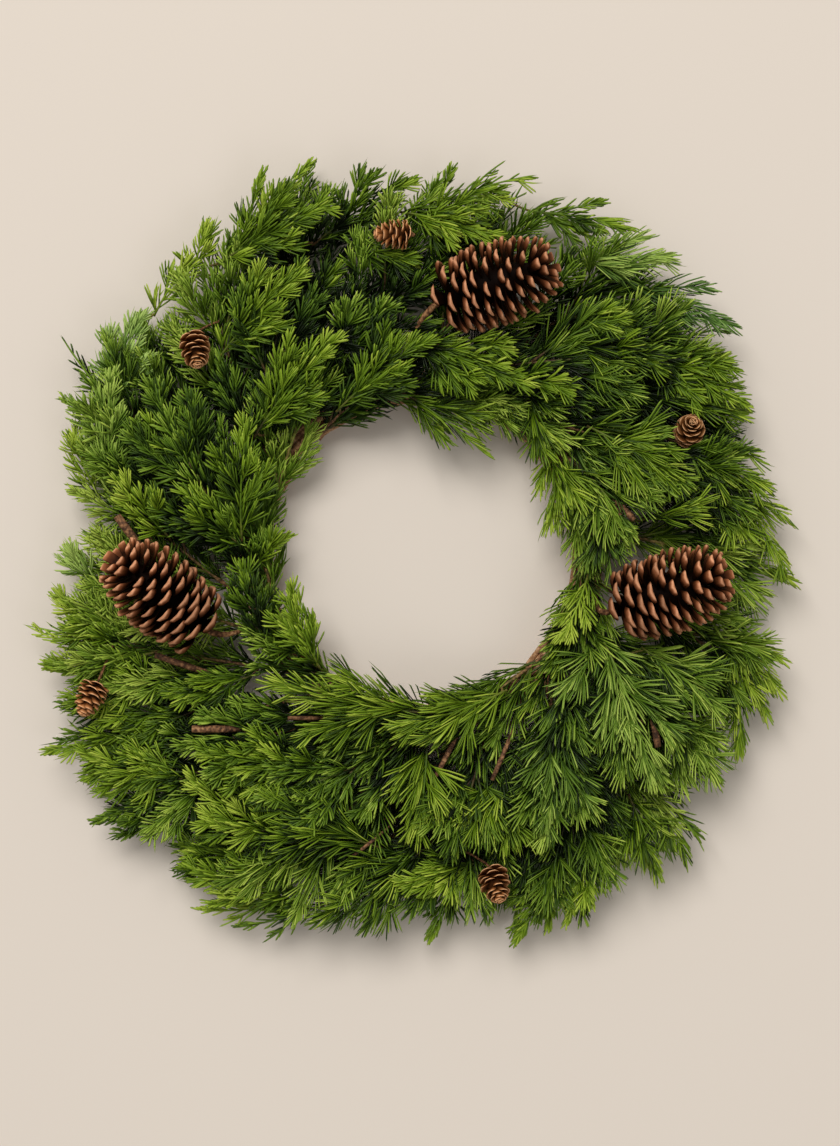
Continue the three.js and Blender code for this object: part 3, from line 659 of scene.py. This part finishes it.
# A stem leaves its seat on the ring outwards and sweeps round clockwise to its tip, by way of
#   middle = (foot + tip) / 2 + bow x outwards
def stemFromRing(row):
    clock, side, x, y, z, bow = row
    tip = np.array([x, y, z], float)

    def bowed(foot):
        middle = (foot + tip) / 2
        return middle + unit(middle * [1, 1, 0]) * bow

    first = seatOnRing(clock, side, stemRadius)
    leaving = unit(bowed(first) - first)
    across = np.linalg.norm(np.cross(leaving, sideOfRing(clock, side)))
    foot = seatOnRing(clock, side, ring["seatShare"] * stemRadius * across)
    return stemThrough(foot, bowed(foot), tip)


# What foliage is combed clear of
room = {"girth": 0.92, "middle": 0.47, "half": 0.56, "above": 0.8, "ends": (0.1, 0.9)}  # round a cone
coneRooms = []
barePlaces = []  # x, y and radius, where the vines show
stubs = []  # ends and radius; no foliage lies right above one


# A point is free if it isn't in a cone's rounded room, right above a cone or a stub, or in a bare place.
# At share along the axis and off away from it, it is in the room where
#   (off / girth)^2 + ((share - middle) / half)^2 < 1
def free(points):
    clear = np.ones(points.shape[:-1], bool)
    for foot, axis, length, radius in coneRooms:
        away = points - foot
        share = dot(away, axis)[..., 0] / length
        off = np.linalg.norm(away - dot(away, axis) * axis, axis=-1) / radius
        inside = (off / room["girth"]) ** 2 + ((share - room["middle"]) / room["half"]) ** 2 < 1
        level = axis * [1, 1, 0]
        along = (away * level).sum(-1) / max(level @ level, 0.02) / length
        along = np.clip(along, *room["ends"])
        beside = np.linalg.norm((away - (along * length)[..., None] * axis)[..., :2], axis=-1) / radius
        above = (beside < room["above"]) & (away[..., 2] > (along * length) * axis[2])
        clear &= ~(inside | above)
    for x, y, radius in barePlaces:
        clear &= np.hypot(points[..., 0] - x, points[..., 1] - y) > radius
    for start, end, radius in stubs:
        whole = (end - start)[:2]
        share = np.clip(((points - start)[..., :2] @ whole) / (whole @ whole), 0, 1)
        beside = np.linalg.norm(points[..., :2] - start[:2] - share[..., None] * whole, axis=-1)
        clear &= (beside > radius + 1) | (points[..., 2] < start[2] - radius)
    return clear


# Threads along a set of branches, up to the share top of each. At share s of that part a thread
#   is thread (1.1 - 0.35 s) long and leans by lean (1.25 - 0.55 s), so that together they end in a fan,
#   and at share m of its own way it heads off at 1.15 - 0.5 m of its lean, give or take its curl.
# Threads grow in alternate hands, each tilted at random round the branch, and may fork at their first bend.
def growThreads(pile, paths, overs, sizes, top, threads, form, tone, cool, slack, rng):
    number = np.maximum((sizes * (1 - form["footBare"]) / form["pitch"]).astype(int), 1) * 2
    owner = np.repeat(np.arange(len(paths)), number)
    rank = np.arange(number.sum()) - np.repeat(np.cumsum(number) - number, number)
    share = (rank + rng.uniform(0.2, 0.8, len(rank))) / number[owner]
    u = (form["footBare"] + (1 - form["footBare"]) * share) * top[owner]
    legs = paths.shape[1] - 1
    leg = np.minimum((u * legs).astype(int), legs - 1)
    back, front = paths[owner, leg], paths[owner, leg + 1]
    root = back + (front - back) * (u * legs - leg)[:, None]
    aim = unit(front - back)
    over = squareTo(overs[owner], aim)
    side = np.cross(aim, over)
    tilt = np.radians(rng.normal(5, form["threadScatter"], len(u)) + np.where(rank % 7 == 6, 40, 0))
    hand = np.where(rank % 2, 1.0, -1.0)
    outward = between(side * hand[:, None], over, tilt)
    long = threads[owner] * (1.1 - 0.35 * share) * rng.uniform(0.85, 1.12, len(u))
    lean = np.radians(form["lean"]) * (1.25 - 0.55 * share) * rng.uniform(0.8, 1.2, len(u))
    # Where a thread turns in towards the tip, the last time at its blunt end
    marks = np.array([0.0, 0.86, 1.0] if form["bends"] == 1 else [0.0, 0.45, 0.88, 1.0])
    swing = form["curl"] * (rng.normal(0, 0.9, len(paths))[owner] + rng.normal(0, 0.3, len(u)))
    legsOf = []
    for mark, step in zip(marks, np.diff(marks)):
        angle = (1.15 - 0.5 * mark + swing * (mark - 0.3)) * lean
        legsOf.append(between(aim, outward, angle) * (long * step)[:, None])
        legsOf[-1][:, 2] -= 0.12 * mark * long * step
    path = np.stack([root] + [root + sum(legsOf[:k]) for k in range(1, len(legsOf) + 1)], 1)
    keep = free(path[:, 1]) & free(path[:, -1]) & (path[:, 1:, 2] > 1).all(1) & combed(path[:, -1], slack)
    shade = tone[owner] + rng.normal(0, form["flecks"], len(u))
    radius = form["radius"] * np.array([[0.75, 1.0, 0.9][:len(legsOf)]])
    addRods(pile, path[keep], radius, radius, outward[keep], 3, tone=shade[keep], cool=cool)
    if form["fork"]:
        forked = keep & (rng.uniform(size=len(u)) < form["fork"])
        aside = outward * rng.choice([-0.4, 0.45], len(u))[:, None]
        lift = unit(between(aim, outward, 0.6 * lean) + aside)
        twig = np.stack([path[:, 1], path[:, 1] + lift * (0.42 * long)[:, None]], 1)
        girth = radius[:, 1:2]
        addRods(pile, twig[forked], girth, girth, outward[forked], 3, tone=shade[forked] + 0.04, cool=cool)


# A frond: a stem with branches in alternate hands, and threads on both. A branch leaves at the angle leave,
# bends forward to close, and ends in a thread of its own. At share p of the leafy part its length is
#   branch min(0.75 + p, 1 - 0.6 ((p - 0.4) / 0.6)^1.5)
# stemLook is the stem's radius at its foot and tip, and how woody its foot is.
def growFrond(pile, stem, form, tone, cool, seed, stemLook=(1.7, 0.7, 1.1), slack=6):
    rng = np.random.default_rng(seed)
    length = stem[2][-1]
    leafy = length * (1 - form["bare"])
    count = max(int((leafy - form["end"]) / form["gap"] * 2), 3)
    order = np.arange(count)
    at = form["bare"] * length + (order + rng.uniform(0.15, 0.85, count)) / count * (leafy - form["end"])
    share = (at - form["bare"] * length) / leafy
    root, aim = onStem(stem, at)
    roll = np.radians(rng.uniform(-14, 14))
    flat = squareTo(up[None], aim)
    over = between(flat, np.cross(aim, flat), roll)
    side = np.cross(aim, over)
    tilt = rng.normal(form["tilt"], form["scatter"], count)
    tilt = np.radians(np.where(order % form["topShare"] == form["topShare"] - 1, form["topTilt"], tilt))
    hand = np.where(order % 2, 1.0, -1.0)
    outward = between(side * hand[:, None], over, tilt)
    size = form["branch"] * np.minimum(0.75 + share, 1 - 0.6 * np.clip((share - 0.4) / 0.6, 0, 1) ** 1.5)
    size = size * rng.uniform(0.8, 1.15, count)
    thread = form["thread"] * (1.05 - 0.4 * share ** 2)
    whole = size + 0.9 * thread
    angles = np.linspace(form["leave"], form["close"], 3) * (1.05 - 0.35 * share[:, None])
    angles = np.radians(angles + rng.normal(0, 5, (count, 1)))
    legs = between(aim[:, None], outward[:, None], angles)
    legs[..., 2] -= form["droop"] * np.arange(3)
    legs = unit(legs) * (whole / 3)[:, None, None]
    path = np.concatenate([root[:, None], root[:, None] + np.cumsum(legs, 1)], 1)
    keep = free(path[:, 1:]).all(1) & (path[:, :, 2] > 1.2).all(1)
    keep &= combed(path[:, -1], slack + rng.normal(0, 5, count))
    path, over, size, share, whole, thread = (
        rows[keep] for rows in (path, over, size, share, whole, thread))
    shade = tone + 0.22 * (share - 0.4) + rng.normal(0, 0.11, len(path))
    radius = form["radius"] * np.array([[1.15, 1.0, 0.9]])
    addRods(pile, path, radius, radius, over, 3, tone=shade - 0.05, cool=cool)
    growThreads(pile, path, over, size, size / whole, thread, form, shade, cool, slack + 4, rng)
    # The stem itself, a fan of threads at its end, and sparse threads along the rest
    foot, tip, fade = stemLook
    marks = np.linspace(0, length, 15)
    spine, aims = onStem(stem, marks)
    girth = foot + (tip - foot) * marks[None, :-1] / length
    woody = np.clip(fade - 1.5 * marks[None] / length, 0, 1)
    above = squareTo(up, aims[:-1])[None]
    addRods(pile, spine[None], girth, girth, above, 6, tone=tone - 0.1, cool=cool, wood=woody)
    fan = 1.6 * form["branch"]
    sparse = dict(form, footBare=0.0, pitch=form["pitch"] * 3)
    for part, size, top, thread, grown, shade, beyond in (
            (marks >= length - fan, fan, 0.97, 0.6 * form["thread"], form, tone + 0.12, slack + 12),
            (marks >= form["bare"] * length, leafy, 0.9, form["thread"], sparse, tone, slack + 8)):
        growThreads(pile, spine[part][None], squareTo(up, aims[part][:1]), np.array([size]), np.array([top]),
                    np.array([thread]), grown, np.array([shade]), cool, beyond, rng)


# A fork of a stem leaves it to one side by the angle spread, and bends back beside it: its first half runs
# cos(angle) ahead and sin(angle) to the side, and its second half does so with 0.45 of the angle.
def forkOf(stem, at, hand, length, spread, rise):
    foot, aim = (rows[0] for rows in onStem(stem, np.array([at * stem[2][-1]])))
    side = unit(np.cross(aim, up)) * hand
    angle = np.radians(spread)
    middle = foot + between(aim, side, angle) * length * 0.5 + up * rise * 0.6
    tip = middle + between(aim, side, angle * 0.45) * length * 0.5 + up * rise * 0.4
    return stemThrough(foot, middle, tip)


photoWidth, photoMiddle = 840, (420, 573)  # in pixels
photoPlace = (-1.6, -16.0)  # what lies under the photograph's middle
cameraHeight, sharpHeight, pixelSize = 1900, 30, 0.8  # a pixel's size is true at sharpHeight

plume = {
    "footDrop": 16, "arch": 7, "sweep": 0.06, "slack": 14, "stemLook": (1.0, 0.6, 0.4),
    "forks": ((0.16, 1), (0.3, -1)), "forkedFrom": 60, "forkLength": 0.5, "forkAngle": 28, "forkRise": -2,
    "forkShade": 0.06, "forkLook": (0.9, 0.6, 0.2),
}
# The plumes that show on the wreath's face: the photograph's pixels at a plume's foot and tip, the height
# of its tip, and its tone from 0, dark, to 1, bright. Two more numbers are its coolness, and 1 for thready.
shownPlumes = [
    # upper left
    (224, 279, 311, 162, 44, 0.65), (218, 265, 328, 204, 54, 0.56), (194, 279, 207, 225, 40, 0.83),
    (154, 316, 191, 262, 40, 0.91), (218, 359, 304, 270, 62, 0.67), (108, 418, 140, 316, 38, 0.84, 0.6, 0),
    (100, 386, 61, 335, 30, 0.24, 0.2, 0), (100, 498, 73, 434, 34, 0.88),
    (114, 498, 111, 372, 44, 0.8, 0.3, 0), (205, 498, 154, 386, 52, 0.46), (253, 439, 336, 337, 66, 0.58),
    (336, 412, 432, 335, 66, 0.5), (242, 541, 248, 423, 60, 0.51), (253, 568, 288, 536, 46, 0.64),
    (170, 538, 122, 480, 50, 0.65), (242, 546, 186, 490, 56, 0.53), (291, 354, 395, 308, 50, 0.16),
    (288, 343, 336, 268, 48, 0.31), (312, 246, 414, 179, 42, 0.42), (352, 249, 414, 268, 46, 0.47),
    # upper right
    (400, 212, 491, 236, 52, 0.66), (435, 220, 454, 163, 34, 0.54), (440, 204, 537, 175, 40, 0.64),
    (529, 212, 625, 228, 40, 0.58), (571, 263, 670, 257, 48, 0.91, 0.4, 1),
    (614, 279, 735, 328, 44, 0.51, 0.8, 1), (566, 316, 628, 327, 60, 0.6),
    (561, 343, 657, 364, 60, 0.56, 0, 1), (628, 348, 748, 407, 52, 0.58),
    (588, 386, 745, 418, 46, 0.53, 0, 1), (400, 338, 529, 388, 66, 0.56),
    (400, 391, 486, 455, 50, 0.51, 0, 1), (520, 378, 571, 391, 62, 0.68),
    (529, 391, 539, 453, 54, 0.43, 0, 1), (553, 431, 550, 525, 50, 0.71, 0, 1),
    (587, 426, 681, 485, 62, 0.56, 0, 1), (668, 439, 767, 487, 46, 0.54, 0, 1),
    (636, 522, 703, 506, 56, 0.75, 0, 1), (703, 453, 786, 568, 38, 0.77, 0, 1),
    # lower left
    (108, 594, 66, 551, 36, 0.95, 0.5, 0), (138, 652, 55, 594, 40, 0.67), (162, 674, 23, 624, 34, 0.89),
    (208, 706, 36, 753, 40, 0.61), (181, 690, 45, 663, 40, 0.65), (194, 781, 84, 754, 46, 0.69),
    (191, 797, 95, 821, 36, 0.34), (328, 765, 202, 752, 60, 0.61), (301, 848, 191, 778, 52, 0.82),
    (315, 896, 183, 867, 42, 0.61), (261, 861, 181, 843, 34, 0.59), (382, 848, 261, 794, 56, 0.47, 0, 1),
    (277, 904, 197, 910, 30, 0.82), (328, 902, 232, 928, 34, 0.44), (440, 835, 315, 923, 44, 0.44, 0, 1),
    (438, 714, 272, 682, 62, 0.61, 0, 1), (320, 669, 290, 588, 58, 0.69), (269, 655, 242, 564, 56, 0.37),
    (256, 674, 170, 695, 52, 0.5),
    # lower right
    (507, 690, 400, 727, 64, 0.67, 0, 1), (427, 727, 416, 835, 60, 0.69, 0, 1),
    (502, 773, 454, 840, 54, 0.69, 0, 1), (504, 765, 499, 861, 52, 0.7, 0, 1),
    (561, 701, 545, 829, 60, 0.57, 0.3, 1), (604, 642, 652, 781, 66, 0.78, 0.3, 1),
    (641, 647, 719, 711, 60, 0.64, 0.2, 1), (668, 711, 716, 776, 52, 0.7, 0.2, 1),
    (652, 781, 687, 861, 38, 0.48, 0, 1), (628, 794, 657, 875, 40, 0.62, 0, 1),
    (588, 835, 566, 923, 38, 0.78), (561, 848, 515, 942, 34, 0.6), (480, 861, 400, 883, 46, 0.67),
    (454, 888, 427, 942, 32, 0.56), (735, 553, 791, 580, 34, 0.69, 0, 1),
    (716, 615, 780, 693, 40, 0.82, 0, 1), (729, 620, 740, 752, 38, 0.72, 0, 1),
    (588, 575, 561, 639, 60, 0.85), (603, 638, 562, 692, 58, 0.56, 0.3, 1),
    (560, 672, 572, 748, 52, 0.56, 0.2, 1), (556, 654, 530, 704, 46, 0.56, 0, 1),
    (586, 606, 550, 666, 50, 0.47, 0, 1), (598, 512, 612, 588, 60, 0.61, 0.2, 1),
    (392, 334, 446, 318, 58, 0.31), (384, 306, 432, 290, 52, 0.19),
]

# Bare woody ends that show between the sprays: the pixels of both ends of what shows, its height and radius
cutStubs = [
    (224, 729, 192, 729, 52, 3.0), (316, 718, 288, 718, 46, 1.6), (193, 668, 155, 655, 42, 2.6),
    (371, 842, 353, 856, 44, 1.3), (452, 745, 436, 776, 50, 2.0), (505, 750, 492, 780, 48, 1.8),
    (655, 730, 658, 747, 52, 2.8), (626, 511, 634, 520, 52, 2.6), (132, 536, 117, 516, 48, 3.4),
]
stub = {  # how far it goes back and down on its way to its stem, and its girth from there to its end
    "way": ((26, 16), (12, 6), (3, 1)), "girths": (0.6, 0.8, 0.9, 0.96, 1.0, 1.04, 0.96), "rounding": 0.3,
}
# Where bare vine shows: pixels and radius
barePixels, vineHeight = [(508, 681, 5), (519, 670, 6), (531, 657, 5), (300, 434, 6), (297, 446, 6)], 20


# The point at a height that the camera sees at a pixel of the photograph. A pixel's size there is
#   pixelSize (cameraHeight - height) / (cameraHeight - sharpHeight)
def underPixel(px, py, height):
    grow = pixelSize * (cameraHeight - height) / (cameraHeight - sharpHeight)
    x = photoPlace[0] + (px - photoMiddle[0]) * grow
    y = photoPlace[1] - (py - photoMiddle[1]) * grow
    return np.array([x, y, height])


def nearestStem(point):  # the name of the stem that passes nearest, and the place where it does
    gaps = np.linalg.norm(stemPoints - point, axis=-1)
    carrier, place = np.unravel_index(gaps.argmin(), gaps.shape)
    return stemNames[carrier], stemPoints[carrier, place]


print("wreath: stems")
stems = {}
for kind, rows in (("face_spray", faceSprays), ("rim_spray", rimSprays), ("outer_spray", outerSprays)):
    for number, row in enumerate(rows, 1):
        stems[f"{kind}_{number}"] = stemFromRing(row)
stemNames = list(stems)
stemPoints = np.stack([stems[name][0] for name in stemNames])

cones = {}
for name, cone in pineCones.items():
    axis = coneAxis(cone)
    foot = np.array([cone["x"], cone["y"], cone["z"]], float) - axis * pineCone["length"] / 2
    end, leaving = seatOnRing(cone["clock"], stalkSide, stalkLift), sideOfRing(cone["clock"], stalkSide)
    cones[name] = (dict(pineCone, curl=cone["curl"]), foot, axis, end, leaving)
for name, cone in smallCones.items():  # each stands on the highest stem that passes behind it
    axis = coneAxis(cone)
    behind = np.array([cone["x"], cone["y"]]) - axis[:2] * perchBehind * smallCone["length"]
    places = stemPoints.reshape(-1, 3)
    away = np.linalg.norm(places[:, :2] - behind, axis=1)
    near = places[away < perchRange] if (away < perchRange).any() else places[[away.argmin()]]
    perch = near[near[:, 2].argmax()]
    middle = np.array([cone["x"], cone["y"], perch[2] + smallConeRise])
    cones[name] = (smallCone, middle - axis * smallCone["length"] / 2, axis, perch + up * perchGap, up)
coneRooms = [(foot, axis, form["length"], form["radius"]) for form, foot, axis, _, _ in cones.values()]
barePlaces = [(*underPixel(px, py, vineHeight)[:2], radius) for px, py, radius in barePixels]
stubs = [(underPixel(px, py, height), underPixel(qx, qy, height + 2), radius)
         for px, py, qx, qy, height, radius in cutStubs]

print("wreath: foliage")
piles = {}
for index, name in enumerate(stemNames):
    stem = stems[name]
    middle = stem[0][24]
    clock = math.degrees(math.atan2(middle[0], middle[1])) % 360
    form = needleForms["feathery" if clock > featheryFrom or clock < featheryTo else "thready"]
    kind, _, number = name.split("_")
    layer = layers[kind]
    tone = layer["tones"][int(number) - 1]
    pile = piles[name] = []
    form = dict(form, **ringGrowth, bends=2 if kind == "face" else 1)
    growFrond(pile, stem, dict(form, branch=form["branch"] * layer["branch"]), tone, coolness, 1000 + index)
    for fork, (at, hand, length, spread, rise) in enumerate(layer["forks"]):
        side = forkOf(stem, at, hand, length * stem[2][-1], spread, rise)
        # A fork that rises higher is painted a little brighter and a low one darker: painted light and shade
        # by height
        shade = tone + 0.01 * (rise - 6) + 0.08 * math.sin(index * 5 + fork * 1.7)
        growFrond(pile, side, form, shade, coolness, 1100 + 10 * index + fork, forkLook)

for index, (px, py, qx, qy, height, tone, *rest) in enumerate(shownPlumes):
    cool, thready = rest or (0, 0)
    foot, tip = underPixel(px, py, height - plume["footDrop"]), underPixel(qx, qy, height)
    carrier, joint = nearestStem(foot)
    pile = piles[carrier]
    size = np.linalg.norm(tip - foot)
    sweep = np.cross(up, unit(tip - foot)) * size * plume["sweep"]
    middle = (foot + tip) / 2 + up * plume["arch"] + sweep
    form = needleForms["thready" if thready else "feathery"]
    form = dict(form, bare=0.0, branch=form["branch"] * min(0.75 + size / 350, 1.05))
    stem = stemThrough(foot, middle, tip)
    for at, hand in plume["forks"] if size > plume["forkedFrom"] else ():
        side = forkOf(stem, at, hand, plume["forkLength"] * size, plume["forkAngle"], plume["forkRise"])
        # Painted shade: a fork, which lies below its plume, is forkShade darker
        growFrond(pile, side, form, tone - plume["forkShade"], cool, 2100 + 2 * index + hand,
                  plume["forkLook"], plume["slack"])
    growFrond(pile, stem, form, tone, cool, 2000 + index, plume["stemLook"], plume["slack"])
    twig = stemThrough(joint, (joint + foot) / 2 - up * 2, foot + (middle - foot) * 0.1)[0][::6]
    addRods(pile, twig[None], 1.0, 1.0, crossways, 5, tone=tone - 0.1, wood=0.7)

for start, end, radius in stubs:  # each grows from the nearest stem
    carrier, joint = nearestStem(start)
    aim = unit(end - start)
    path = [start - aim * back - up * down for back, down in stub["way"]]
    path = np.stack([joint, *path, start, (start + end) / 2 + up, end, end + aim * stub["rounding"]])
    girth = radius * np.array([stub["girths"]])
    addRods(piles[carrier], path[None], girth, girth, crossways, 8, tone=0.5, wood=1.0)

finishes = {"needles": needleFinish(), "vine": vineFinish()}
finishes.update({kind: coneFinish(**look) for kind, look in coneLooks.items()})

total = 0
top = canopyOver(piles.values())
for name, pile in piles.items():
    shadeBelow(pile, top)
    total += makePiece(name + "_foliage", pile, finishes["needles"], "foliage", name)
print("wreath: foliage has", total, "triangles")

for k in range(ring["count"]):
    total += makePiece(f"vine_{k + 1}_strands", vinePile(k), finishes["vine"], "vine", f"vine_{k + 1}")
for index, (name, (form, foot, axis, end, leaving)) in enumerate(cones.items()):
    own = {**pineCones, **smallCones}[name]
    kind = "pine" if name in pineCones else "small"
    stalk = stalkFor(form, foot, axis, end, leaving)
    broad, tipLight = own.get("broad", 1), own.get("tipLight", 0)
    pile = conePile(form, foot, axis, stalk, 300 + index, own["pale"], broad, tipLight)
    total += makePiece(name + "_scales", pile, finishes[kind], kind + "_cone", name)
print("wreath: all pieces have", total, "triangles")


# Studio

studioLook = {
    "floorSize": 3.0, "floorTone": (0.745, 0.68, 0.612), "floorRough": 0.9,
    "sky": (1.0, 0.95, 0.88), "skyStrength": 0.34,
    "window": {"place": (-1.6, 3.9, 6.7), "size": 4.4, "power": 488, "colour": (1.0, 0.97, 0.93)},
    "fill": {"place": (2.0, -2.4, 4.2), "size": 2.4, "power": 22, "colour": (0.95, 0.97, 1.0)},
}


# A plain floor, two soft lamps that look at the wreath, and the camera straight above it. Its lens is
#   sensor width (cameraHeight - sharpHeight) / (photoWidth pixelSize)
def studio():
    mesh = bpy.data.meshes.new("floor")
    h = studioLook["floorSize"]
    mesh.from_pydata([(-h, -h, 0), (h, -h, 0), (h, h, 0), (-h, h, 0)], [], [(0, 1, 2, 3)])
    finish = bpy.data.materials.new("pale floor")
    finish.use_nodes = True
    shader = finish.node_tree.nodes["Principled BSDF"]
    shader.inputs["Base Color"].default_value = (*studioLook["floorTone"], 1)
    shader.inputs["Roughness"].default_value = studioLook["floorRough"]
    mesh.materials.append(finish)
    newObject("floor", mesh)

    world = bpy.data.worlds.new("soft sky")
    bpy.context.scene.world = world
    world.use_nodes = True
    sky = world.node_tree.nodes["Background"]
    sky.inputs[0].default_value = (*studioLook["sky"], 1)
    sky.inputs[1].default_value = studioLook["skyStrength"]

    for name in ("window", "fill"):
        look = studioLook[name]
        lamp = bpy.data.lights.new(name, "AREA")
        lamp.energy, lamp.size, lamp.color = look["power"], look["size"], look["colour"]
        box = newObject(name, lamp)
        x, y, z = box.location = look["place"]
        box.rotation_euler = (math.atan2(math.hypot(x, y), z), 0, math.atan2(-x, y) + math.pi)

    lens = bpy.data.cameras.new("camera")
    lens.sensor_fit = "HORIZONTAL"
    lens.sensor_width = 36
    lens.lens = lens.sensor_width * (cameraHeight - sharpHeight) / (photoWidth * pixelSize)
    lens.clip_start, lens.clip_end = 0.1, 10
    camera = bpy.context.scene.camera = newObject("camera", lens)
    x, y = ringMiddle[:2] + photoPlace
    camera.location = (x * mm, y * mm, cameraHeight * mm)
    bpy.context.scene.view_settings.view_transform = "Standard"


studio()
